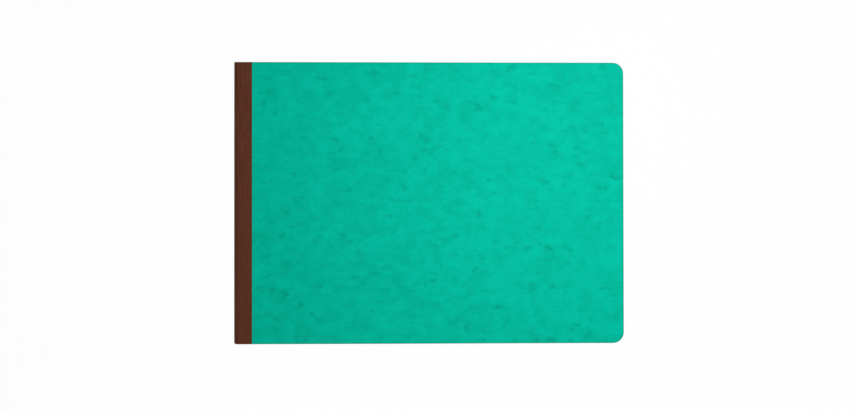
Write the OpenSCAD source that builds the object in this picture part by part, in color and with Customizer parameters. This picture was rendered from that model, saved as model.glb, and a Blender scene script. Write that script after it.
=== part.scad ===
// Columnar ledger book: folded sheets in a pressboard cover, stapled through the fold and bound with a cloth tape.
// +X runs from the spine to the fore edge, +Y from tail to head, +Z up through the closed book, in millimetres.
// The origin is the centre of the closed book's base. Leaves and covers all turn about the fold, along Y.

/* [Book] */
// Width of the closed book, from the spine to the fore edge
book_w = 377; // [250:1:450]
// Height of the book, from tail to head
book_h = 272; // [180:1:380]
// Radius of the two fore-edge corners
corner_r = 10.5; // [3:0.5:25]
// Radius of the spine's tail corner
tail_corner_r = 2.5; // [1:0.5:3.5]

/* [Leaves] */
// Number of leaves, two to each folded sheet
leaf_count = 40; // [12:2:52]
// Thickness of the ledger paper
leaf_t = 0.13; // [0.09:0.01:0.2]
// Air between neighbouring leaves
leaf_gap = 0.015; // [0.01:0.005:0.04]
// Inner radius of the innermost fold
fold_r = 0.05; // [0.03:0.01:0.1]
// Half the width of the cut along the fold, where paper and board flex
fold_cut = 0.05; // [0.02:0.01:0.1]

/* [Cover] */
// Thickness of the pressboard
cover_t = 0.6; // [0.4:0.05:1]
// Air between the cover and the outermost leaf
cover_gap = 0.03; // [0.02:0.01:0.1]

/* [Spine tape] */
// Thickness of the cloth tape
tape_t = 0.3; // [0.2:0.05:0.5]
// Width of the tape on each cover, from the spine's outer edge
tape_w = 17.4; // [8:0.2:40]
// Depth to which the tape is pressed into the board
tape_bed = 0.05; // [0.02:0.01:0.1]
// Thickness of the glue under the tape
glue_t = 0.01; // [0.01:0.01:0.05]
// Half the width of the cut between the tape's two halves
tape_cut = 0.01; // [0.01:0.01:0.05]

/* [Staples] */
// Number of staples along the fold
staple_count = 2; // [1:1:3]
// Distance between neighbouring staples
staple_pitch = 120; // [40:1:120]
// Diameter of the wire
wire_d = 0.5; // [0.4:0.05:0.55]
// Length of the crown, between the legs' centres
crown_l = 12.5; // [9:0.5:16]
// Length of each clinched tip, from the leg's centre
tip_l = 4.5; // [2:0.5:5.5]
// Radius of the wire's bends, at its centre
bend_r = 0.6; // [0.4:0.05:0.8]
// Room between the wire and what it passes through
wire_room = 0.03; // [0.02:0.01:0.06]

/* [Hidden] */
$fn = 96;
// Cuts run past the solid by this much
over = 1;
sheet_count = leaf_count / 2;
leaf_pitch = leaf_t + leaf_gap;
// Radii about the fold's centre, from the outermost leaf to the spine's outside
cover_r = fold_r + sheet_count * leaf_pitch - leaf_gap + cover_gap;
bed_r = cover_r + cover_t - tape_bed;
tape_r = bed_r + glue_t;
spine_r = tape_r + tape_t;
// Edges and the fold's centre
spine_x = -book_w / 2;
fore_x = book_w / 2;
tape_x = spine_x + tape_w;
fold_x = spine_x + spine_r;
fold_z = spine_r;
// The staple's crown lies under the tape and its tips inside the innermost fold
crown_x = spine_x + tape_t + wire_room + wire_d / 2;
tip_x = fold_x - fold_r + wire_room + wire_d / 2;

front = 1;
back = -1;

pressboard_green = [0.01, 0.7, 0.58];
cloth_brown = [0.33, 0.19, 0.13];
paper_white = [0.96, 0.95, 0.91];
wire_grey = [0.72, 0.73, 0.75];

// Leaves count from the front, so leaf 1 and the last leaf are one sheet, the outermost
function is_front(k) = k <= sheet_count;
function sheets_inside(k) = is_front(k) ? sheet_count - k : k - sheet_count - 1;
function leaf_r(k) = fold_r + sheets_inside(k) * leaf_pitch;
function leaf_name(k) = str("leaf_", k < 10 ? "0" : "", k);

// Section of a front layer across the fold: a quarter bend of inner radius r, then flat as far as end_x
module layer_section(r, t, end_x, cut) {
    intersection() {
        difference() {
            circle(r + t);
            circle(r);
        }
        translate([-(r + t + over), cut])
            square(r + t + over);
    }
    translate([0, r])
        square([end_x - fold_x, t]);
}

// A section drawn about the fold's centre, run from tail to head, and turned over for the back half
module along_fold(side, length = book_h) {
    translate([fold_x, 0, fold_z])
        mirror([0, 0, side == back ? 1 : 0])
            rotate([90, 0, 0])
                linear_extrude(length, center = true)
                    children();
}

// What a round corner leaves of a square one, with the corner towards +X +Y before it is turned
module corner_waste(x, y, r, turn) {
    translate([x, y, -over])
        rotate(turn)
            linear_extrude(2 * spine_r + 2 * over)
                difference() {
                    square(r + over);
                    circle(r);
                }
}

module corner_trims() {
    fore_in = fore_x - corner_r;
    head_in = book_h / 2 - corner_r;
    corner_waste(fore_in, head_in, corner_r, 0);
    corner_waste(fore_in, -head_in, corner_r, 270);
    corner_waste(spine_x + tail_corner_r, tail_corner_r - book_h / 2, tail_corner_r, 180);
}

// One staple lying flat in the fold
module staple() {
    leg_y = crown_l / 2;
    straight_y = leg_y - bend_r;
    translate([crown_x, 0, fold_z])
        rotate([90, 0, 0])
            cylinder(d = wire_d, h = 2 * straight_y, center = true);
    for (v = [0, 1])
        mirror([0, v, 0]) {
            translate([crown_x + bend_r, straight_y, fold_z])
                rotate(90)
                    wire_bend();
            translate([crown_x + bend_r, leg_y, fold_z])
                rotate([0, 90, 0])
                    cylinder(d = wire_d, h = tip_x - crown_x - 2 * bend_r);
            translate([tip_x - bend_r, straight_y, fold_z])
                wire_bend();
            translate([tip_x, straight_y, fold_z])
                rotate([90, 0, 0])
                    cylinder(d = wire_d, h = tip_l - bend_r);
        }
}

module wire_bend() {
    rotate_extrude(angle = 90)
        translate([bend_r, 0])
            circle(d = wire_d);
}

// What a staple takes out of the folded layers, from the spine to past its clinched tips
module staple_way() {
    way = wire_d + 2 * wire_room;
    start_x = spine_x - over;
    translate([start_x, -(crown_l + way) / 2, fold_z - way / 2])
        cube([tip_x + way / 2 - start_x, crown_l + way, way]);
}

module each_staple() {
    for (i = [0 : staple_count - 1])
        translate([0, (i - (staple_count - 1) / 2) * staple_pitch, 0])
            children();
}

// A layer's solid, with its corners round and the staples' way through it open
module pierced() {
    difference() {
        children();
        corner_trims();
        each_staple()
            staple_way();
    }
}

module leaf(k) {
    color(paper_white)
        pierced()
            along_fold(is_front(k) ? front : back)
                layer_section(leaf_r(k), leaf_t, fore_x, fold_cut);
}

module cover(side) {
    color(pressboard_green)
        pierced()
            difference() {
                along_fold(side)
                    layer_section(cover_r, cover_t, fore_x, fold_cut);
                along_fold(side, book_h + 2 * over)
                    layer_section(bed_r, tape_bed + over, tape_x + glue_t, -over);
            }
}

module spine_tape(side) {
    color(cloth_brown)
        difference() {
            along_fold(side)
                layer_section(tape_r, tape_t, tape_x, tape_cut);
            corner_trims();
        }
}

module staples() {
    color(wire_grey)
        each_staple()
            staple();
}

cover(front);  // front_cover
cover(back);  // back_cover
spine_tape(front);  // spine_tape_front
spine_tape(back);  // spine_tape_back
staples();
for (k = [1 : leaf_count])
    leaf(k);
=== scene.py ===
import math
import random

import bmesh
import bpy
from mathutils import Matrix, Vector


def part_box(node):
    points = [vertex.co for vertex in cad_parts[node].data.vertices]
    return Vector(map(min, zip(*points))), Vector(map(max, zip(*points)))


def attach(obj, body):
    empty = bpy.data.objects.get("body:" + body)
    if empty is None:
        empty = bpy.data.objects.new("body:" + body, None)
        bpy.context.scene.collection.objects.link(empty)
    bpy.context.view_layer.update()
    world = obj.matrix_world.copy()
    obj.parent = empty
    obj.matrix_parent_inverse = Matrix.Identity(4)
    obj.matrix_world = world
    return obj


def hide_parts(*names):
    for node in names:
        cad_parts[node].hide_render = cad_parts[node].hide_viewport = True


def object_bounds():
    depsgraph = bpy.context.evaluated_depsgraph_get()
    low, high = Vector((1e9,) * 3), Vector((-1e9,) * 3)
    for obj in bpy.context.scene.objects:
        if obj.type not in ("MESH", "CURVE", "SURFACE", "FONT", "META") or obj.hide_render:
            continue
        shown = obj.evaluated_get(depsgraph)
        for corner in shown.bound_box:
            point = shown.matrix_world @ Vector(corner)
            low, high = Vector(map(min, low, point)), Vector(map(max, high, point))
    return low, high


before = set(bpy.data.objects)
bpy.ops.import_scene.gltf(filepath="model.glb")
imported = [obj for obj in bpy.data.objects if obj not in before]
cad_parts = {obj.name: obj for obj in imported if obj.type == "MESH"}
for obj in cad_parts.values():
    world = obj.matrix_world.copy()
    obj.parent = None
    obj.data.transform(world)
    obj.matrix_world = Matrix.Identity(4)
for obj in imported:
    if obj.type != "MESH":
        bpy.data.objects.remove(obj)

# Columnar ledger book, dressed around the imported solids: pressboard covers, cloth spine tape, ruled leaves
# and staples. Lengths are in metres, in the solids' own frame: +X to the fore edge, +Y to the head, +Z up.

MM = 0.001
FRONT = 1
BACK = -1
LEAF_COUNT = 40
MIDDLE = LEAF_COUNT // 2
WAD = 5

# The book's outline and fold, read from the solids
cad_low, cad_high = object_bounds()
spine_x = cad_low.x
fore_x = cad_high.x
tail_y = cad_low.y
head_y = cad_high.y
fold_z = (cad_low.z + cad_high.z) / 2
spine_r = cad_high.z - fold_z
fold_x = spine_x + spine_r
tape_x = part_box("spine_tape_front")[1].x
board_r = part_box("front_cover")[1].z - fold_z

# Sizes that a node's box doesn't give
CORNER_R = 10.5 * MM
TAIL_CORNER_R = 2.5 * MM
LEAF_T = 0.13 * MM
BOARD_T = 0.6 * MM
TAPE_T = 0.3 * MM
TAPE_BED = 0.05 * MM
STAPLE_PITCH = 120 * MM
CROWN_L = 12.5 * MM
WIRE_D = 0.5 * MM
WIRE_ROOM = 0.03 * MM

# Radii of the bent layers about the fold
tape_in_r = spine_r - TAPE_T
bed_r = board_r - TAPE_BED
board_in_r = board_r - BOARD_T

# Places of the staples, and of their crowns under the tape
staple_ys = [-STAPLE_PITCH / 2, STAPLE_PITCH / 2]
crown_x = spine_x + TAPE_T + WIRE_ROOM + WIRE_D / 2

# Folded layers stop this far from the fold's middle plane, and thin strips of paper close the gap
FOLD_GAP = 0.12 * MM
NEAR_FOLD = 1.01 * FOLD_GAP
# At the head and the tail, cover and tape close that gap over this length
END_L = 0.25 * MM
END_GAP = 0.006 * MM

# Sockets of a Mix node: the share, the pair of numbers or colours that it mixes, and the mixed colour
MIX_SHARE = 0
MIX_NUMBERS = (2, 3)
MIX_COLOURS = (6, 7)
MIXED_COLOUR = 2


class Shader:
    """A material with a Principled surface, and short ways to add nodes to it."""

    def __init__(self, name):
        self.material = bpy.data.materials.new(name)
        self.material.use_nodes = True
        self.tree = self.material.node_tree
        self.tree.nodes.clear()
        self.surface = self.add("ShaderNodeBsdfPrincipled")
        self.output = self.add("ShaderNodeOutputMaterial")
        self.put(self.output.inputs["Surface"], self.surface.outputs[0])

    def add(self, kind, **settings):
        node = self.tree.nodes.new(kind)
        for key, value in settings.items():
            setattr(node, key, value)
        return node

    def put(self, socket, value):
        """Links another socket to this one, or writes a constant on it."""
        if isinstance(value, bpy.types.NodeSocket):
            self.tree.links.new(value, socket)
        else:
            socket.default_value = value

    def set(self, **values):
        """Sets sockets of the surface, with underscores for the spaces in their names."""
        for key, value in values.items():
            self.put(self.surface.inputs[key.replace("_", " ")], value)

    def math(self, operation, *values):
        node = self.add("ShaderNodeMath", operation=operation)
        for socket, value in zip(node.inputs, values):
            self.put(socket, value)
        return node.outputs[0]

    def times(self, first, *others):
        for value in others:
            first = self.math("MULTIPLY", first, value)
        return first

    def most(self, first, *others):
        for value in others:
            first = self.math("MAXIMUM", first, value)
        return first

    def step(self, value, low, high, to_low, to_high):
        """Goes smoothly from to_low to to_high while the value goes from low to high."""
        node = self.add("ShaderNodeMapRange", interpolation_type="SMOOTHSTEP")
        for socket, number in zip(node.inputs, (value, low, high, to_low, to_high)):
            self.put(socket, number)
        return node.outputs[0]

    def rise(self, value, low, high, share=1.0):
        """Rises from 0 to a share while a distance or a noise's level goes from low to high."""
        return self.step(value, low, high, 0.0, share)

    def fade(self, value, low, high, share=1.0):
        """Falls from a share to 0 while a distance or a noise's level goes from low to high."""
        return self.step(value, low, high, share, 0.0)

    def mix(self, share, a, b):
        node = self.add("ShaderNodeMix", data_type="RGBA")
        self.put(node.inputs[MIX_SHARE], share)
        for socket, colour in zip(MIX_COLOURS, (a, b)):
            self.put(node.inputs[socket], colour)
        return node.outputs[MIXED_COLOUR]

    def place(self):
        return self.add("ShaderNodeTexCoord").outputs["Object"]

    def mapped(self, vector, scale=(1, 1, 1), turn=(0, 0, 0), shift=(0, 0, 0)):
        node = self.add("ShaderNodeMapping")
        self.put(node.inputs["Vector"], vector)
        node.inputs["Scale"].default_value = scale
        node.inputs["Rotation"].default_value = turn
        node.inputs["Location"].default_value = shift
        return node.outputs[0]

    def split(self, vector):
        node = self.add("ShaderNodeSeparateXYZ")
        self.put(node.inputs[0], vector)
        return node.outputs

    def noise(self, vector, cells=1.0, detail=2.0, rough=0.5, bend=0.0):
        """Noise with so many cells to the metre, or to the unit of a mapped vector."""
        node = self.add("ShaderNodeTexNoise")
        self.put(node.inputs["Vector"], vector)
        node.inputs["Scale"].default_value = cells
        node.inputs["Detail"].default_value = detail
        node.inputs["Roughness"].default_value = rough
        node.inputs["Distortion"].default_value = bend
        return node.outputs["Fac"]

    def bump(self, height, depth, strength):
        node = self.add("ShaderNodeBump")
        node.inputs["Strength"].default_value = strength
        node.inputs["Distance"].default_value = depth
        self.put(node.inputs["Height"], height)
        return node.outputs[0]


def srgb(*levels):
    """A colour written in 0 to 255 screen levels, as the linear colour that a shader takes."""
    linear = []
    for level in levels:
        v = level / 255
        linear.append(v / 12.92 if v <= 0.04045 else ((v + 0.055) / 1.055) ** 2.4)
    return (*linear, 1.0)


def outline_depth(s):
    """How far a point lies inside the outline's fore edge, head and tail, with the round corners."""
    x, y, _ = s.split(s.place())
    past_x = s.math("SUBTRACT", x, fore_x - CORNER_R)
    past_y = s.math("SUBTRACT", s.math("ABSOLUTE", y), head_y - CORNER_R)
    turn_x = s.most(past_x, 0.0)
    turn_y = s.most(past_y, 0.0)
    corner = s.math("SQRT", s.math("ADD", s.times(turn_x, turn_x), s.times(turn_y, turn_y)))
    straight = s.math("MINIMUM", s.most(past_x, past_y), 0.0)
    return s.math("SUBTRACT", CORNER_R, s.math("ADD", corner, straight))


# Pressboard

BOARD_LIGHT = (0.0007, 0.520, 0.362, 1)
BOARD_DARK = (0.0005, 0.432, 0.292, 1)
BOARD_SPOT = (0.0003, 0.225, 0.130, 1)
BOARD_RIM_SHADE = (0.0003, 0.215, 0.140, 1)
BOARD_PALE = (0.004, 0.640, 0.470, 1)
BOARD_SHEEN = (0.02, 0.95, 0.68, 1)
CUT_DARK = (0.0015, 0.30, 0.20, 1)
CUT_LIGHT = (0.004, 0.46, 0.33, 1)
# Cells of noise to the metre
MOTTLE_CELLS = 118
BROAD_CELLS = 26
PATCH_CELLS = 55
GRAIN_CELLS = 900
RAG_CELLS = 420
STREAK_CELLS = (75, 190, 1)
HAIR_CELLS = (240, 2500, 1)
CUT_CELLS = (180, 180, 5200)
# A board's seed moves it through the noise, by these shares along each axis
SEED_SHARES = (1, 2.3, 0.7)
# Clouds, spots and streaks are drawn out along X, and turned a little
CLOUD_SHAPE = (0.78, 1.0, 1)
CLOUD_TURN = (0, 0, 0.10)
SPOT_SHAPE = (0.76, 1.05, 1)
SPOT_TURN = (0, 0, 0.14)
STREAK_TURN = (0, 0, 0.22)
# Directions of the dark and the pale hairs, in radians
DARK_HAIRS = (0.1, 0.9, 2.2)
PALE_HAIRS = (0.5, 1.6, 2.8)
CLOUD_SHARE = 0.75
STREAK_SHARE = 0.3
HAIR_SHARE = 0.24
# The rim is painted shade, where the board's edge turns from the light. It is darkest up to one depth
# inside the outline and ends at another, both more or less by the rag
RIM_FULL = 0.2 * MM
RIM_END = 1.15 * MM
RIM_RAG = 0.5 * MM
RIM_SHARE = 0.75
BOARD_UNEVEN = 0.06
BOARD_RELIEF = 0.02 * MM
CUT_RELIEF = 0.03 * MM


def fibres(s, at, turns):
    """Short fine hairs that lie in the given directions."""
    hairs = 0.0
    for turn in turns:
        drawn = s.mapped(s.mapped(at, turn=(0, 0, turn)), HAIR_CELLS)
        hairs = s.most(hairs, s.rise(s.noise(drawn, detail=1, bend=0.6), 0.62, 0.74))
    return hairs


def pressboard(name, seed, roughness):
    """Dyed board with soft cloudy mottling, darker spots and short streaks mostly along X, fine fibres and a
    dark rim of painted shade along the outline."""
    s = Shader(name)
    at = s.mapped(s.place(), shift=[share * seed for share in SEED_SHARES])
    clouds = s.noise(s.mapped(at, CLOUD_SHAPE, CLOUD_TURN), MOTTLE_CELLS, detail=2.4)
    broad = s.noise(at, BROAD_CELLS, bend=0.3)
    grain = s.noise(at, GRAIN_CELLS, rough=0.6)
    tone = s.math("ADD", s.times(clouds, CLOUD_SHARE), s.times(broad, 1 - CLOUD_SHARE))
    colour = s.mix(s.fade(tone, 0.28, 0.70), BOARD_LIGHT, BOARD_DARK)

    spot_shape = s.noise(s.mapped(at, SPOT_SHAPE, SPOT_TURN), MOTTLE_CELLS, detail=1.6, bend=0.12)
    patches = s.noise(at, PATCH_CELLS, rough=0.6, bend=0.5)
    spots = s.times(s.rise(spot_shape, 0.53, 0.85), s.step(patches, 0.34, 0.72, 0.16, 0.85))
    streak_shape = s.noise(s.mapped(at, STREAK_CELLS, STREAK_TURN), detail=1, bend=0.4)
    streaks = s.rise(streak_shape, 0.60, 0.85, STREAK_SHARE)
    colour = s.mix(s.most(spots, streaks), colour, BOARD_SPOT)
    colour = s.mix(s.times(fibres(s, at, DARK_HAIRS), HAIR_SHARE), colour, BOARD_SPOT)
    colour = s.mix(s.times(fibres(s, at, PALE_HAIRS), HAIR_SHARE), colour, BOARD_PALE)

    # Painted shade: a dark rim along the outline, where the board's edge turns from the light
    rag = s.times(s.math("SUBTRACT", s.noise(at, RAG_CELLS, rough=0.6), 0.5), RIM_RAG)
    depth = s.math("ADD", outline_depth(s), rag)
    colour = s.mix(s.fade(depth, RIM_FULL, RIM_END, RIM_SHARE), colour, BOARD_RIM_SHADE)
    s.set(Base_Color=colour, Specular_IOR_Level=0.4, Specular_Tint=BOARD_SHEEN)
    s.set(Roughness=s.step(grain, 0.3, 0.7, roughness - BOARD_UNEVEN, roughness + BOARD_UNEVEN))
    height = s.math("ADD", s.times(grain, 0.5), s.times(clouds, 0.5))
    s.set(Normal=s.bump(height, BOARD_RELIEF, 0.6))
    return s.material


def board_edge(name):
    """The cut edge of the pressboard: fibres pressed in layers, rougher and darker than the faces."""
    s = Shader(name)
    layers = s.noise(s.mapped(s.place(), CUT_CELLS), detail=3, rough=0.6)
    s.set(Base_Color=s.mix(s.rise(layers, 0.35, 0.68), CUT_DARK, CUT_LIGHT))
    s.set(Roughness=0.75, Specular_IOR_Level=0.25, Specular_Tint=BOARD_SHEEN)
    s.set(Normal=s.bump(layers, CUT_RELIEF, 0.7))
    return s.material


# Book cloth

CLOTH_WARM = srgb(106, 58, 36)
CLOTH_DEEP = srgb(92, 46, 27)
CLOTH_FILL = srgb(77, 42, 26)
CLOTH_HOLLOW_SHADE = srgb(47, 23, 14)
CLOTH_SPINE_SHADE = srgb(44, 24, 15)
THREAD_PITCH = 0.42 * MM
THREAD_WANDER = 0.35
WANDER_CELLS = 900
THREAD_CELLS = (1100, 45, 1)
FILL_CELLS = (300, 200, 1)
CLOTH_RELIEF = 0.05 * MM
# Distance round the tape, from the middle of the spine to where it turns onto a cover
SPINE_TURN = 3.2 * MM
SPINE_SHADE_W = 7 * MM


def book_cloth(name):
    """Brown book cloth: a plain weave of fine threads, filled with colour and polished a little."""
    s = Shader(name)
    at = s.add("ShaderNodeUVMap", uv_map="laid_flat").outputs[0]
    along, across, _ = s.split(at)
    wander = s.times(s.math("SUBTRACT", s.noise(at, WANDER_CELLS, detail=1), 0.5), THREAD_WANDER)

    def wave(distance):
        turns = s.math("ADD", s.math("DIVIDE", distance, THREAD_PITCH), wander)
        return s.math("SINE", s.times(turns, math.pi))

    warp = wave(along)
    weft = wave(across)
    over = s.rise(s.times(warp, weft), -0.2, 0.2)
    under = s.math("SUBTRACT", 1.0, over)
    raised_warp = s.times(s.math("ABSOLUTE", warp), over)
    raised_weft = s.times(s.math("ABSOLUTE", weft), under)
    height = s.math("ADD", raised_warp, raised_weft)

    threads = s.noise(s.mapped(at, THREAD_CELLS))
    fill = s.noise(s.mapped(at, FILL_CELLS), detail=3, rough=0.6)
    colour = s.mix(s.rise(threads, 0.32, 0.68), CLOTH_WARM, CLOTH_DEEP)
    colour = s.mix(s.rise(fill, 0.40, 0.75, 0.35), colour, CLOTH_FILL)
    # Painted shade in the hollows between the threads
    colour = s.mix(s.fade(height, 0.15, 0.75, 0.55), colour, CLOTH_HOLLOW_SHADE)
    # Painted shade, darkest over the round spine and fading out on its turn onto the covers
    colour = s.mix(s.fade(along, SPINE_TURN, SPINE_TURN + SPINE_SHADE_W, 0.30), colour, CLOTH_SPINE_SHADE)
    s.set(Base_Color=colour, Roughness=s.step(height, 0.2, 0.9, 0.82, 0.62))
    s.set(Specular_IOR_Level=0.12, Sheen_Weight=0.02, Sheen_Roughness=0.5)
    s.set(Normal=s.bump(s.math("ADD", height, s.times(fill, 0.3)), CLOTH_RELIEF, 0.8))
    return s.material


# Ledger paper

PAPER = srgb(240, 238, 229)
PAPER_CLOUD = srgb(236, 232, 220)
PAPER_FIBRE = srgb(226, 222, 210)
PAPER_AGED = srgb(228, 219, 198)
ROW_INK = srgb(128, 160, 190)
RULE_INK = srgb(186, 84, 84)
EDGE_DARK = srgb(222, 215, 199)
EDGE_LIGHT = srgb(245, 242, 232)
EDGE_MARK = srgb(206, 197, 178)
FIBRE_CELLS = 1400
PAPER_CELLS = 60
EDGE_CELLS = (25, 25, 4600)
MARK_CELLS = (600, 600, 900)
# Rectos and versos take their grain from different depths of the noise
RECTO_SHIFT = 0.3
VERSO_SHIFT = 0.9
AGED_W = 14 * MM
PAPER_RELIEF = 0.012 * MM
# The ruling
PAGE_MARGIN = 12 * MM
DATE_W = 11 * MM
TEXT_W = 92 * MM
COLUMN_W = 26 * MM
COLUMNS = 9
DIGITS = 5
ROW_H = 8 * MM
ROWS_TO_A_GROUP = 5
HEADING_H = 34 * MM
TITLE_H = 20 * MM
FOOT = 12 * MM
PAIR = 0.9 * MM
# A line is full up to one share of its width from its middle, and ends at the other
LINE_W = 0.27 * MM
LINE_FULL = 0.3
LINE_END = 0.75
GROUP_LINE_W = 1.5 * LINE_W
DIGIT_LINE_W = 0.7 * LINE_W
ROW_SHARE = 0.8
DIGIT_SHARE = 0.55
RULE_SHARE = 0.85


def ruling(s, across, down):
    """Shares of ink on a page: its feint rows and digit lines, then its strong column and heading lines."""

    def line(distance, width=LINE_W):
        return s.fade(distance, LINE_FULL * width, LINE_END * width)

    def away(value, place):
        return s.math("ABSOLUTE", s.math("SUBTRACT", value, place))

    def between(value, low, high):
        return s.times(s.math("GREATER_THAN", value, low), s.math("LESS_THAN", value, high))

    def repeated(distance, pitch):
        return s.math("PINGPONG", distance, pitch / 2)

    dates_at = PAGE_MARGIN
    text_at = dates_at + 2 * DATE_W
    money_at = text_at + TEXT_W
    money_end = money_at + COLUMNS * COLUMN_W
    rows_end = head_y - tail_y - FOOT
    in_page = between(across, dates_at - LINE_W, money_end + PAIR)
    in_rows = between(down, HEADING_H - LINE_W, rows_end)
    in_money = between(across, money_at - PAIR, money_end + PAIR)
    under_title = between(down, TITLE_H, rows_end)

    below = s.math("SUBTRACT", down, HEADING_H)
    past = s.math("SUBTRACT", across, money_at)
    rows = s.times(line(repeated(below, ROW_H)), ROW_SHARE)
    group_rows = line(repeated(below, ROWS_TO_A_GROUP * ROW_H), GROUP_LINE_W)
    rows = s.times(s.most(rows, group_rows), in_rows, in_page)
    digits = line(repeated(past, COLUMN_W / DIGITS), DIGIT_LINE_W)
    digits = s.times(digits, in_rows, in_money, DIGIT_SHARE)

    columns = s.times(line(away(repeated(past, COLUMN_W), PAIR / 2)), in_money, under_title)
    dates = s.most(*[line(away(across, x)) for x in (dates_at, dates_at + DATE_W, text_at)])
    dates = s.times(dates, under_title)
    heading = s.most(line(away(away(down, HEADING_H), PAIR / 2)), line(away(down, TITLE_H)))
    heading = s.times(heading, in_page)
    return s.most(rows, digits), s.most(columns, dates, heading)


def ledger_page(name, is_recto, shows=True):
    """Ruled ledger paper: feint rows, date and text columns, then money columns with digit lines. A page
    that can show has the paper's grain too."""
    s = Shader(name)
    x, y, _ = s.split(s.place())
    if is_recto:
        across = s.math("SUBTRACT", x, fold_x)
    else:
        across = s.math("SUBTRACT", fore_x, x)
    feint, strong = ruling(s, across, s.math("SUBTRACT", head_y, y))

    at = s.mapped(s.place(), shift=(0, 0, RECTO_SHIFT if is_recto else VERSO_SHIFT))
    grain = s.noise(at, FIBRE_CELLS, detail=3, rough=0.6)
    colour = s.mix(s.rise(s.noise(at, PAPER_CELLS), 0.35, 0.65, 0.5), PAPER, PAPER_CLOUD)
    colour = s.mix(s.rise(grain, 0.55, 0.75, 0.3), colour, PAPER_FIBRE)
    # Old paper is a little warmer towards its open edges
    colour = s.mix(s.fade(outline_depth(s), 0.0, AGED_W, 0.35), colour, PAPER_AGED)
    colour = s.mix(feint, colour, ROW_INK)
    colour = s.mix(s.times(strong, RULE_SHARE), colour, RULE_INK)
    s.set(Base_Color=colour, Roughness=0.78, Specular_IOR_Level=0.3)
    if shows:
        s.set(Normal=s.bump(grain, PAPER_RELIEF, 0.6))
    return s.material


def paper_edge(name):
    """The cut edges of the leaves, each a little different in tone."""
    s = Shader(name)
    layers = s.noise(s.mapped(s.place(), EDGE_CELLS), detail=3, rough=0.7)
    marks = s.noise(s.mapped(s.place(), MARK_CELLS), rough=0.6)
    colour = s.mix(s.rise(layers, 0.34, 0.66), EDGE_DARK, EDGE_LIGHT)
    colour = s.mix(s.rise(marks, 0.55, 0.75, 0.3), colour, EDGE_MARK)
    s.set(Base_Color=colour, Roughness=0.85, Specular_IOR_Level=0.2)
    return s.material


# Staple wire

WIRE_DARK = srgb(172, 174, 178)
WIRE_LIGHT = srgb(206, 207, 210)
WIRE_CELLS = (4200, 500, 4200)
WIRE_RELIEF = 0.01 * MM


def staple_wire(name):
    """Bright drawn wire, streaked along its length."""
    s = Shader(name)
    drawn = s.noise(s.mapped(s.place(), WIRE_CELLS), detail=3, rough=0.6)
    s.set(Base_Color=s.mix(drawn, WIRE_DARK, WIRE_LIGHT))
    s.set(Metallic=1.0, Roughness=s.step(drawn, 0.3, 0.7, 0.24, 0.42))
    s.set(Normal=s.bump(drawn, WIRE_RELIEF, 0.5))
    return s.material


board_outside = pressboard("pressboard_outside", seed=0.31, roughness=0.42)
board_inside = pressboard("pressboard_inside", seed=0.77, roughness=0.55)
board_cut = board_edge("pressboard_edge")
cloth = book_cloth("book_cloth")
recto = ledger_page("ledger_recto", True)
verso = ledger_page("ledger_verso", False)
inner_recto = ledger_page("ledger_inner_recto", True, shows=False)
inner_verso = ledger_page("ledger_inner_verso", False, shows=False)
leaf_edge = paper_edge("ledger_edge")
wire = staple_wire("staple_wire")


# Shapes

# A sheet's faces, and the material that each takes
OUTER = 0
INNER = 1
CUT = 2
SHARP_ANGLE = math.radians(35)
ROUNDED_ANGLE = math.radians(50)
ROUNDED_SEGMENTS = 2
# A sheet's columns on its map for baking: the margin at their sides, their foot and their length, all as
# shares, and the band above them for the cut ends
MAP_MARGIN = 0.02
MAP_FOOT = 0.005
MAP_LENGTH = 0.98
MAP_ENDS = (0.990, 0.996)


def outline_y(x):
    """Lowest and highest y of the book's outline at x, with its three round corners."""
    low = tail_y
    high = head_y
    past = x - (fore_x - CORNER_R)
    if past > 0:
        drop = CORNER_R - math.sqrt(max(0.0, CORNER_R ** 2 - past ** 2))
        low += drop
        high -= drop
    past = spine_x + TAIL_CORNER_R - x
    if past > 0:
        low += TAIL_CORNER_R - math.sqrt(max(0.0, TAIL_CORNER_R ** 2 - past ** 2))
    return low, high


def spread(low, high, count):
    return [low + (high - low) * i / (count - 1) for i in range(count)]


def ramp(value, low, high):
    return min(1.0, max(0.0, (value - low) / (high - low)))


def corner_xs(steps):
    """Stations across the fore-edge corners, closer together where the outline turns away."""
    return [fore_x - CORNER_R + CORNER_R * math.sin(math.pi / 2 * i / steps) for i in range(steps + 1)]


def flat_pair(x, side, r_out, r_in):
    """A layer's outer and inner point at x, where it lies flat."""
    return [(x, fold_z + side * r_out), (x, fold_z + side * r_in)]


def bend_pairs(side, r_out, r_in, steps, out_gap, in_gap):
    """A layer's outer and inner points round its quarter bend, from the fold's middle plane to the flat."""
    rows = []
    for i in range(steps + 1):
        pair = []
        for r, gap in ((r_out, out_gap), (r_in, in_gap)):
            start = math.asin(gap / r)
            a = start + (math.pi / 2 - start) * i / steps
            pair.append((fold_x - r * math.cos(a), fold_z + side * r * math.sin(a)))
        rows.append(pair)
    return rows


def lengths_along(points):
    lengths = [0.0]
    for before, after in zip(points, points[1:]):
        lengths.append(lengths[-1] + math.dist(before, after))
    return lengths


def sheet_ring(bm, rows, ys, lift):
    """Lines of vertices round a sheet, each from tail to head: its outer face forwards, then its inner face
    back. Also gives each vertex's place on the flat sheet, and how far round the sheet each line is."""
    profile = [(pair[OUTER], OUTER, i) for i, pair in enumerate(rows)]
    profile += [(pair[INNER], INNER, i) for i, pair in reversed(list(enumerate(rows)))]
    across = lengths_along([pair[OUTER] for pair in rows])
    around = lengths_along([point for point, _, _ in profile + profile[:1]])
    ring = []
    laid = {}
    for (x, z), face, i in profile:
        low, high = outline_y(x)
        points = [Vector((x, low + (high - low) * t, z)) for t in ys]
        if lift is not None:
            points = [lift(p, face) for p in points]
        line = [bm.verts.new(p) for p in points]
        for v in line:
            laid[v] = (across[i], v.co.y)
        ring.append(line)
    return ring, laid, around


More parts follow.
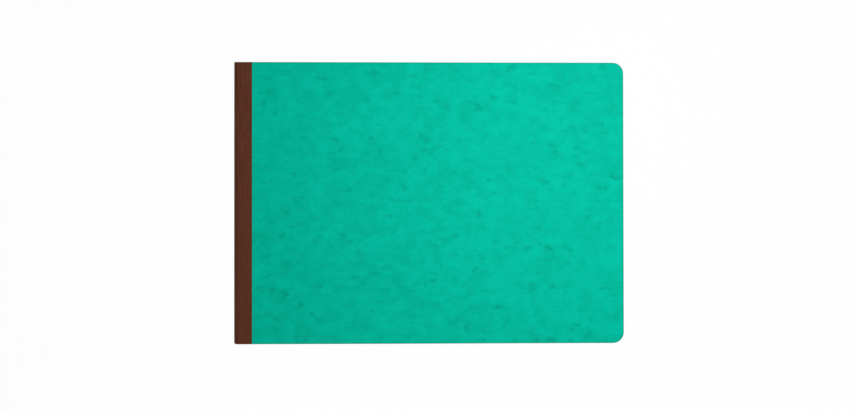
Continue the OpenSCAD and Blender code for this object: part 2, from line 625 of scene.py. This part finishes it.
def sweep(bm, rows, ys, lift=None, columns=0):
    """Adds a closed sheet, swept from tail to head, to a mesh. rows are pairs of (x, z) for its outer and
    inner face, ys are places along Y as shares of the outline, and lift may move a point of either face.
    With columns, the sheet's length is also laid out in that many columns of a map for baking."""
    flat = bm.loops.layers.uv.get("laid_flat") or bm.loops.layers.uv.new("laid_flat")
    baked = bm.loops.layers.uv.new("OFBake") if columns else None
    ring, laid, around = sheet_ring(bm, rows, ys, lift)
    segments = len(ys) - 1
    per_column = math.ceil(segments / max(columns, 1))

    def baked_at(m, j, column):
        u = (column + MAP_MARGIN + (1 - 2 * MAP_MARGIN) * around[m] / around[-1]) / columns
        return u, MAP_FOOT + MAP_LENGTH * (j - column * per_column) / per_column

    def add(corners, index, places):
        made = bm.faces.new(corners)
        made.material_index = index
        made.smooth = True
        for loop in made.loops:
            loop[flat].uv = laid[loop.vert]
        for loop, place in zip(made.loops, places):
            loop[baked].uv = place

    n = len(rows)
    for m in range(2 * n):
        after = (m + 1) % (2 * n)
        index = CUT if m in (n - 1, 2 * n - 1) else m // n
        for j in range(segments):
            places = []
            if columns:
                corners = ((m, j), (m + 1, j), (m + 1, j + 1), (m, j + 1))
                places = [baked_at(*corner, j // per_column) for corner in corners]
            add((ring[m][j], ring[after][j], ring[after][j + 1], ring[m][j + 1]), index, places)
    for j, column in ((0, 0), (segments, columns - 1)):
        for i in range(n - 1):
            places = []
            if columns:
                left, _ = baked_at(i, j, column)
                right, _ = baked_at(i + 1, j, column)
                low, high = MAP_ENDS
                places = [(left, low), (right, low), (right, high), (left, high)]
            add((ring[i][j], ring[i + 1][j], ring[2 * n - 2 - i][j], ring[2 * n - 1 - i][j]), CUT, places)


def add_object(name, data):
    made = bpy.data.objects.new(name, data)
    bpy.context.scene.collection.objects.link(made)
    return made


def piece(name, bm, materials):
    """Makes an object of a mesh whose faces number their materials."""
    bmesh.ops.recalc_face_normals(bm, faces=bm.faces)
    mesh = bpy.data.meshes.new(name)
    bm.to_mesh(mesh)
    bm.free()
    for material in materials:
        mesh.materials.append(material)
    mesh.set_sharp_from_angle(angle=SHARP_ANGLE)
    return add_object(name, mesh)


def slab(name, rows, materials, ys, lift, columns=0):
    """Makes an object of one sheet."""
    bm = bmesh.new()
    sweep(bm, rows, ys, lift, columns)
    return piece(name, bm, materials)


def rounded(made, width):
    """Rounds a sheet's cut edges, but not those along the fold, where its two halves meet."""
    bm = bmesh.new()
    bm.from_mesh(made.data)
    weight = bm.edges.layers.float.new("bevel_weight_edge")
    for line in bm.edges:
        at_fold = all(abs(v.co.z - fold_z) < NEAR_FOLD for v in line.verts)
        if not at_fold and line.calc_face_angle(0.0) > ROUNDED_ANGLE:
            line[weight] = 1.0
    bm.to_mesh(made.data)
    bm.free()
    edge = made.modifiers.new("edge", "BEVEL")
    edge.width = width
    edge.segments = ROUNDED_SEGMENTS
    edge.limit_method = "WEIGHT"
    edge.harden_normals = True


def dress(made, body, slot, *nodes):
    """Says which body a piece rides on and the nodes that it replaces. Its slot is not used."""
    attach(made, body)
    if nodes:
        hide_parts(*nodes)


def side_name(side):
    return "front" if side == FRONT else "back"


def close_end(point, side):
    """Brings the cut along the fold together at the head and the tail."""
    low, high = outline_y(point.x)
    from_end = min(point.y - low, high - point.y)
    if from_end < END_L / 2 and END_GAP < abs(point.z - fold_z) < NEAR_FOLD:
        return Vector((point.x, point.y, fold_z + side * END_GAP))
    return point


def end_ys(count):
    """Shares along Y, evenly spread between the short lengths at both ends where the cut closes."""
    share = END_L / (head_y - tail_y)
    return [0] + spread(share, 1 - share, count) + [1]


# Covers

# Steps round the bend, stations on the flat, steps round the corners and places along Y
BOARD_BENDS = 16
BOARD_STATIONS = 12
BOARD_CORNERS = 14
BOARD_LENGTHS = 9
# The flat bed under the tape begins this far before the tape's edge, and the board steps up just past it
BED_W = 2 * MM
BED_STEP = 0.07 * MM
# The flat's stations keep this far from the tape's edge and from the round corners
TAPE_MARGIN = 1 * MM
CORNER_MARGIN = 2 * MM
BOARD_ROUND = 0.06 * MM
# How far the lines next to the ends move inwards, for each length past the tape
END_DRIFT = 0.05


def board_lift(side):
    """Closes the cut at the head and the tail. The lines next to those ends leave them towards the fore
    edge, and so keep clear of its round corners."""

    def lift(point, face):
        low, high = outline_y(point.x)
        drift = END_DRIFT * max(0.0, point.x - tape_x)
        y = point.y
        if END_L / 2 < y - low < 2 * END_L:
            y += drift
        elif END_L / 2 < high - y < 2 * END_L:
            y -= drift
        return close_end(Vector((point.x, y, point.z)), side)

    return lift


def add_cover(side):
    rows = bend_pairs(side, bed_r, board_in_r, BOARD_BENDS, FOLD_GAP, FOLD_GAP)
    for x in (tape_x - BED_W, tape_x):
        rows.append(flat_pair(x, side, bed_r, board_in_r))
    flat_xs = spread(tape_x + TAPE_MARGIN, fore_x - CORNER_R - CORNER_MARGIN, BOARD_STATIONS)
    for x in [tape_x + BED_STEP] + flat_xs + corner_xs(BOARD_CORNERS):
        rows.append(flat_pair(x, side, board_r, board_in_r))
    name = side_name(side) + "_cover"
    faces = [board_outside, board_inside, board_cut]
    board = slab(name + "_board", rows, faces, end_ys(BOARD_LENGTHS), board_lift(side))
    rounded(board, BOARD_ROUND)
    dress(board, name, "pressboard", name)


for side in (FRONT, BACK):
    add_cover(side)


# Spine tape

TAPE_BENDS = 18
TAPE_STATIONS = 8
TAPE_LENGTHS = 161
BEND_MARGIN = 1 * MM
BAKE_COLUMNS = 3
# The rise over a staple's crown, and how far it runs out past the crown's ends and to its sides
CROWN_BUMP = 0.045 * MM
BUMP_END_W = 1.2 * MM
BUMP_SIDE_W = 0.9 * MM


def tape_lift(side):
    """Closes the cut in the tape's inside at its ends, and lifts its outside over each staple's crown."""

    def lift(point, face):
        if face == INNER:
            return close_end(point, side)
        rise = 0.0
        for y in staple_ys:
            along = max(0.0, abs(point.y - y) - CROWN_L / 2) / BUMP_END_W
            across = abs(point.z - fold_z) / BUMP_SIDE_W
            rise += CROWN_BUMP * math.exp(-along ** 2 - across ** 2)
        return point - Vector((rise, 0, 0))

    return lift


def add_tape(side):
    rows = bend_pairs(side, spine_r, tape_in_r, TAPE_BENDS, 0.0, FOLD_GAP)
    for x in spread(fold_x + BEND_MARGIN, tape_x, TAPE_STATIONS):
        rows.append(flat_pair(x, side, spine_r, tape_in_r))
    name = "spine_tape_" + side_name(side)
    cover = side_name(side) + "_cover"
    ys = end_ys(TAPE_LENGTHS)
    tape = slab("cloth_" + name, rows, [cloth] * 3, ys, tape_lift(side), BAKE_COLUMNS)
    dress(tape, cover, "book_cloth", name)


for side in (FRONT, BACK):
    add_tape(side)


# Leaves

LEAF_BENDS = 8
LEAF_CORNERS = 12
LEAF_STATIONS = [40 * MM, 150 * MM, 260 * MM]
LEAF_SHARES = [0.25, 0.5, 0.75]
# Leaves differ in how far they are trimmed, up to a length at the fore edge and a share of their height
FORE_TRIM = 0.06 * MM
END_TRIM = 0.0002
TRIM_SEED = 7
random.seed(TRIM_SEED)


def leaf_name(k):
    return "leaf_%02d" % k


def wad_span(k):
    """The first and the last leaf of leaf k's wad, as its body's name gives them."""
    first = (k - 1) // WAD * WAD + 1
    return "%02d_%02d" % (first, first + WAD - 1)


def leaf_layer(k):
    """Leaf k's side of the fold, and its outer and inner distance from the fold's middle plane."""
    low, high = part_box(leaf_name(k))
    if k <= MIDDLE:
        return FRONT, high.z - fold_z, high.z - fold_z - LEAF_T
    return BACK, fold_z - low.z, fold_z - low.z - LEAF_T


def add_leaf(bm, k):
    side, r_out, r_in = leaf_layer(k)
    trim = random.uniform(0.0, FORE_TRIM)
    if r_in > 2 * FOLD_GAP:
        rows = bend_pairs(side, r_out, r_in, LEAF_BENDS, FOLD_GAP, FOLD_GAP)
    else:
        rows = [flat_pair(fold_x - r_out, side, r_out, r_in)]
    for x in [fold_x + station for station in LEAF_STATIONS] + corner_xs(LEAF_CORNERS):
        trimmed_x = x - trim * (x - fold_x) / (fore_x - fold_x)
        rows.append(flat_pair(trimmed_x, side, r_out, r_in))
    inset = random.uniform(0.0, END_TRIM)
    sweep(bm, rows, [inset] + LEAF_SHARES + [1 - inset])


def add_leaves(group, pages):
    """Adds one piece with a group of leaves, all of one wad."""
    bm = bmesh.new()
    for k in group:
        add_leaf(bm, k)
    name = "paper_" + leaf_name(group[0])
    if len(group) > 1:
        name = "paper_leaves_%02d_%02d" % (group[0], group[-1])
    if group[0] > MIDDLE:
        pages = pages[::-1]
    leaves = piece(name, bm, pages + [leaf_edge])
    dress(leaves, "leaves_" + wad_span(group[0]), "ledger_paper", *[leaf_name(k) for k in group])


# The first and last leaf of each wad show a page, and those between show only their edges
for first in range(1, LEAF_COUNT + 1, WAD):
    last = first + WAD - 1
    add_leaves([first], [recto, verso])
    add_leaves(list(range(first + 1, last)), [inner_recto, inner_verso])
    add_leaves([last], [recto, verso])


# Strips of paper close the fold at every opening, and those round the staples swell over the wire

STRIP_T = 0.012 * MM
STRIP_STEP = 0.024 * MM
# Stations from the spine's outside under tape and cover, and then between the leaves as far as a lap past
# the fold that a strip closes
STRIP_STATIONS = [0.03 * MM, 0.15 * MM, 0.30 * MM, 0.45 * MM, 0.58 * MM, 0.75 * MM]
LEAVES_IN = 0.97 * MM
LEAVES_MARGIN = 0.3 * MM
LEAVES_STATIONS = 8
STRIP_LAP = 0.03 * MM
# Between the covers, strips stop short of the ends by the length of the closed cut, and they reach the ends
# over this length among the leaves
INSET_W = 0.1 * MM
# At the spine's round tail corner strips stop this much further in, as far as the tape's inside
TAIL_IN = 0.4 * MM
# The swelling's height and half width, how it starts at the spine, and where it ends before the fold
SWELL_H = 0.30 * MM
SWELL_W = 0.45 * MM
SWELL_START_W = 0.3 * MM
SWELL_END = 0.15 * MM
SWELL_END_START = 0.5 * MM
# Along Y, a swollen strip has lines this far apart, so many to each side of a staple's middle
SWELL_STEP = 0.25 * MM
SWELL_STEPS = 36

tape_inside_x = spine_x + TAPE_T
leaves_x = spine_x + LEAVES_IN


def wire_rise(x, y):
    """A strip's share of the swelling over the staples' crowns and legs. Their clinched tips stay bare."""
    rise = 0.0
    for staple_y in staple_ys:
        along = abs(y - staple_y)
        past = max(0.0, along - CROWN_L / 2)
        crown = math.exp(-((x - crown_x) / SWELL_W) ** 2 - (past / SWELL_W) ** 2)
        leg = math.exp(-((along - CROWN_L / 2) / SWELL_W) ** 2) * ramp(x, crown_x - SWELL_W, crown_x)
        rise = max(rise, leg, crown)
    starts = ramp(x, spine_x, spine_x + SWELL_START_W)
    ends = ramp(fold_x - x, SWELL_END, SWELL_END_START)
    return rise * starts * ends


def strip_lift(sign):
    """Draws a strip's ends in where it lies between the covers, and moves it off the staples' wire, up for
    sign 1 and down for sign -1."""

    def lift(point, face):
        low, high = outline_y(point.x)
        inset = END_L * (1 - ramp(point.x, leaves_x, leaves_x + INSET_W))
        tail_inset = inset + TAIL_IN * (1 - ramp(point.x, tape_inside_x, tape_inside_x + TAPE_T / 2))
        y = min(max(point.y, low + tail_inset), high - inset)
        return Vector((point.x, y, point.z + sign * SWELL_H * wire_rise(point.x, y)))

    return lift


def swollen_ys():
    """Shares along Y for a strip that swells, close together near each staple."""
    places = {0.0, 1.0}
    for y in staple_ys:
        for i in range(-SWELL_STEPS, SWELL_STEPS + 1):
            places.add((y + i * SWELL_STEP - tail_y) / (head_y - tail_y))
    return sorted(places)


def fold_strip(k, level, sign=0, part=""):
    """A strip from the spine to the fold of leaf k, at a level above or below the fold's middle plane."""
    side, _, r_in = leaf_layer(k)
    reach = math.sqrt(max(0.0, r_in ** 2 - FOLD_GAP ** 2))
    xs = [spine_x + station for station in STRIP_STATIONS] + [leaves_x, leaves_x + INSET_W]
    xs += spread(leaves_x + LEAVES_MARGIN, fold_x - reach + STRIP_LAP, LEAVES_STATIONS)
    rows = [flat_pair(x, side, side * level + STRIP_T / 2, side * level - STRIP_T / 2) for x in xs]
    ys = swollen_ys() if sign else [0, 1]
    faces = [inner_recto, inner_recto, leaf_edge]
    strip = slab("paper_fold_" + wad_span(k) + part, rows, faces, ys, strip_lift(sign))
    dress(strip, "leaves_" + wad_span(k), "ledger_paper")


# Strips lie one step apart, those of the front wads above the fold's middle plane and the others below it
for i in range(MIDDLE // WAD):
    fold_strip(MIDDLE - WAD * i, (i + 0.5) * STRIP_STEP)
    if i > 0:
        fold_strip(MIDDLE + 1 + WAD * i, -(i + 1.5) * STRIP_STEP)
fold_strip(MIDDLE + 1, -0.5 * STRIP_STEP, 1, "_upper")
fold_strip(MIDDLE + 1, -1.5 * STRIP_STEP, -1, "_lower")


# Staples keep their solid's shape

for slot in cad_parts["staples"].material_slots:
    slot.material = wire


# Stage: a floor and surroundings that show white to the camera and to glossy surfaces, and soft light

WHITE = (1, 1, 1, 1)
# The floor's glow leaves a small share of the matt floor to see, which takes the book's shadow
FLOOR_GLOW = 0.96
FLOOR_TONE = (0.9, 0.9, 0.9, 1)
FLOOR_HALF = 6.0
FLOOR_DROP = 0.05 * MM
AMBIENT = 0.471
KEY_PLACE = (0.18, 0.11, 0.55)
KEY_SIZE = 0.5
KEY_POWER = 1.95
# The photo's camera looks nearly straight down. Turns are in degrees, lens and sensor in millimetres.
CAMERA_PLACE = (-0.0404, -0.0147, 1.3834)
CAMERA_TURNS = (0.528, -1.585, -0.061)
CAMERA_LENS = 60
CAMERA_SENSOR = 36
CAMERA_NEAR = 0.01


def white_to_camera(tree):
    """A share that is 1 for rays from the camera, direct or by way of a glossy or clear surface."""
    paths = tree.nodes.new("ShaderNodeLightPath")
    seen = paths.outputs["Is Camera Ray"]
    for kind in ("Is Glossy Ray", "Is Transmission Ray"):
        both = tree.nodes.new("ShaderNodeMath")
        both.operation = "MAXIMUM"
        tree.links.new(seen, both.inputs[0])
        tree.links.new(paths.outputs[kind], both.inputs[1])
        seen = both.outputs[0]
    return seen


def floor_material():
    s = Shader("floor")
    s.tree.nodes.remove(s.surface)
    matt = s.add("ShaderNodeBsdfDiffuse")
    s.put(matt.inputs["Color"], FLOOR_TONE)
    glow = s.add("ShaderNodeEmission")
    s.put(glow.inputs["Color"], WHITE)
    s.put(glow.inputs["Strength"], 1.0)
    blend = s.add("ShaderNodeMixShader")
    s.put(blend.inputs[0], s.times(white_to_camera(s.tree), FLOOR_GLOW))
    s.put(blend.inputs[1], matt.outputs[0])
    s.put(blend.inputs[2], glow.outputs[0])
    s.put(s.output.inputs["Surface"], blend.outputs[0])
    return s.material


def add_floor():
    mesh = bpy.data.meshes.new("floor")
    corners = [(-1, -1), (1, -1), (1, 1), (-1, 1)]
    mesh.from_pydata([(FLOOR_HALF * a, FLOOR_HALF * b, 0) for a, b in corners], [], [(0, 1, 2, 3)])
    mesh.materials.append(floor_material())
    floor = add_object("floor", mesh)
    floor.location.z = -FLOOR_DROP


def add_surroundings():
    world = bpy.data.worlds.new("surroundings")
    bpy.context.scene.world = world
    world.use_nodes = True
    tree = world.node_tree
    backdrop = tree.nodes["Background"]
    backdrop.inputs["Color"].default_value = WHITE
    strength = tree.nodes.new("ShaderNodeMix")
    tree.links.new(white_to_camera(tree), strength.inputs[MIX_SHARE])
    for socket, number in zip(MIX_NUMBERS, (AMBIENT, 1.0)):
        strength.inputs[socket].default_value = number
    tree.links.new(strength.outputs[0], backdrop.inputs["Strength"])


def add_key_lamp():
    """A soft round lamp that shines straight down."""
    light = bpy.data.lights.new("key", "AREA")
    light.shape = "DISK"
    light.size = KEY_SIZE
    light.energy = KEY_POWER
    add_object("key", light).location = KEY_PLACE


def add_camera():
    data = bpy.data.cameras.new("photo_camera")
    data.lens = CAMERA_LENS
    data.sensor_width = CAMERA_SENSOR
    data.clip_start = CAMERA_NEAR
    camera = add_object("photo_camera", data)
    camera.location = CAMERA_PLACE
    camera.rotation_euler = [math.radians(turn) for turn in CAMERA_TURNS]
    bpy.context.scene.camera = camera


add_floor()
add_surroundings()
add_key_lamp()
add_camera()
bpy.context.scene.view_settings.view_transform = "Standard"
